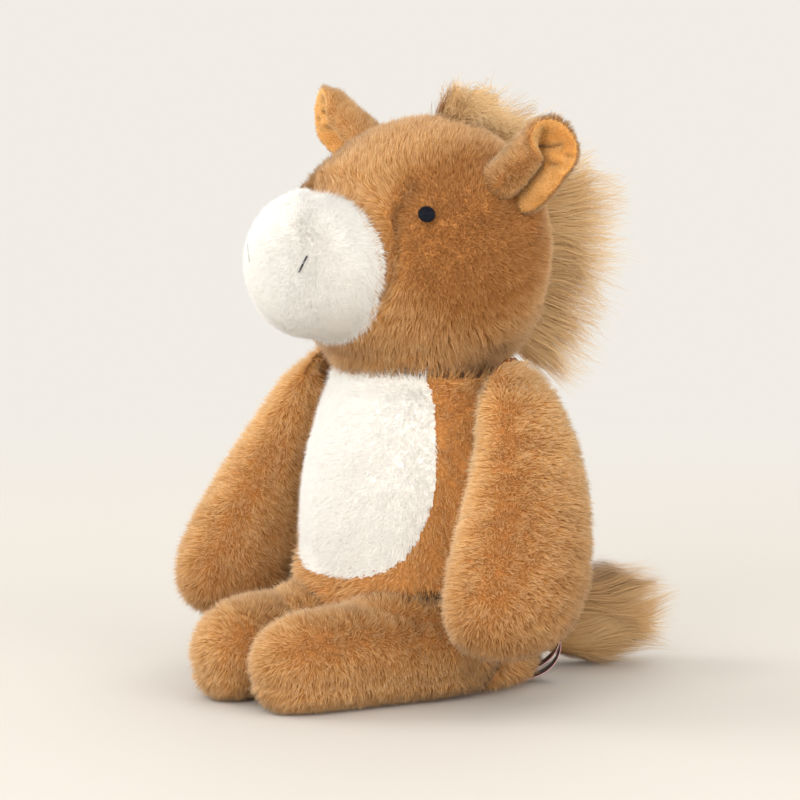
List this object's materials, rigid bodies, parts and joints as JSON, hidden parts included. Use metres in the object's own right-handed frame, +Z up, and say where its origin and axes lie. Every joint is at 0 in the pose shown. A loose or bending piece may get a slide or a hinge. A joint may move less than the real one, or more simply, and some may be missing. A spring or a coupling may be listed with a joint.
{
  "type": "plush horse",
  "caption": "Seated plush horse with a round stuffed body, white muzzle and belly panel, hair mane and tail, turning head, swinging arms and legs, and soft ears.",
  "frame": {"origin": "On the floor, at the middle of the flat seat face under the torso, below the neck", "axes": "+Z is up, the horse faces -Y and its own left side is +X"},
  "size_m": [0.257, 0.2866, 0.3098],
  "materials": {
    "brown_fur": "caramel brown short faux fur",
    "white_plush": "off-white short dense plush",
    "gold_plush": "golden tan short nap",
    "mane_hair": "long pale tan hair pile",
    "stuffing": "loose polyester fibre filling",
    "pellet_bag": "cotton bag of pellets",
    "black_thread": "dense satin-stitch embroidery",
    "satin_ribbon": "dark woven satin ribbon, bare"
  },
  "bodies": {
    "torso": {"torso_skin": "brown_fur", "belly_panel": "white_plush", "torso_stuffing": "stuffing", "seat_pellets": "pellet_bag", "care_label": "satin_ribbon"},
    "head": {"head_skin": "brown_fur", "muzzle_skin": "white_plush", "head_stuffing": "stuffing", "eye_left": "black_thread", "eye_right": "black_thread", "nostril_left": "black_thread", "nostril_right": "black_thread", "mane": "mane_hair"},
    "ear_left": {"ear_left_back": "brown_fur", "ear_left_lining": "gold_plush"},
    "ear_right": {"ear_right_back": "brown_fur", "ear_right_lining": "gold_plush"},
    "arm_left": {"arm_left_skin": "brown_fur", "arm_left_stuffing": "stuffing"},
    "arm_right": {"arm_right_skin": "brown_fur", "arm_right_stuffing": "stuffing"},
    "leg_left": {"leg_left_skin": "brown_fur", "leg_left_stuffing": "stuffing"},
    "leg_right": {"leg_right_skin": "brown_fur", "leg_right_stuffing": "stuffing"},
    "tail": {"tail_hair": "mane_hair"}
  },
  "joints": [
    {"name": "neck_turn", "type": "hinge", "parent": "torso", "child": "head", "pos_m": [0, 0, 0.165], "axis": [0, 0, 1], "range_deg": [-30, 30], "stiffness_Nm_per_rad": 0.3},
    {"name": "shoulder_left", "type": "hinge", "parent": "torso", "child": "arm_left", "pos_m": [0.055, -0.007, 0.158], "axis": [-1, 0, 0], "range_deg": [-15, 60], "stiffness_Nm_per_rad": 0.12},
    {"name": "shoulder_right", "type": "hinge", "parent": "torso", "child": "arm_right", "pos_m": [-0.055, -0.007, 0.158], "axis": [-1, 0, 0], "range_deg": [-15, 60], "stiffness_Nm_per_rad": 0.12},
    {"name": "hip_left", "type": "hinge", "parent": "torso", "child": "leg_left", "pos_m": [0.038, -0.038, 0.0315], "axis": [1, 0, 0], "range_deg": [0, 45], "stiffness_Nm_per_rad": 0.12},
    {"name": "hip_right", "type": "hinge", "parent": "torso", "child": "leg_right", "pos_m": [-0.038, -0.038, 0.0315], "axis": [1, 0, 0], "range_deg": [0, 45], "stiffness_Nm_per_rad": 0.12},
    {"name": "ear_left_flop", "type": "hinge", "parent": "head", "child": "ear_left", "pos_m": [0.06423, 0.0009, 0.2539], "axis": [0.0698, 0.9976, 0], "range_deg": [-12, 12], "stiffness_Nm_per_rad": 0.02},
    {"name": "ear_right_flop", "type": "hinge", "parent": "head", "child": "ear_right", "pos_m": [-0.05899, 0.00952, 0.26254], "axis": [0.0698, 0.9976, 0], "range_deg": [-12, 12], "stiffness_Nm_per_rad": 0.02},
    {"name": "tail_swing", "type": "hinge", "parent": "torso", "child": "tail", "pos_m": [0, 0.066, 0.022], "axis": [0, 0, 1], "range_deg": [-5, 85], "stiffness_Nm_per_rad": 0.02}
  ]
}
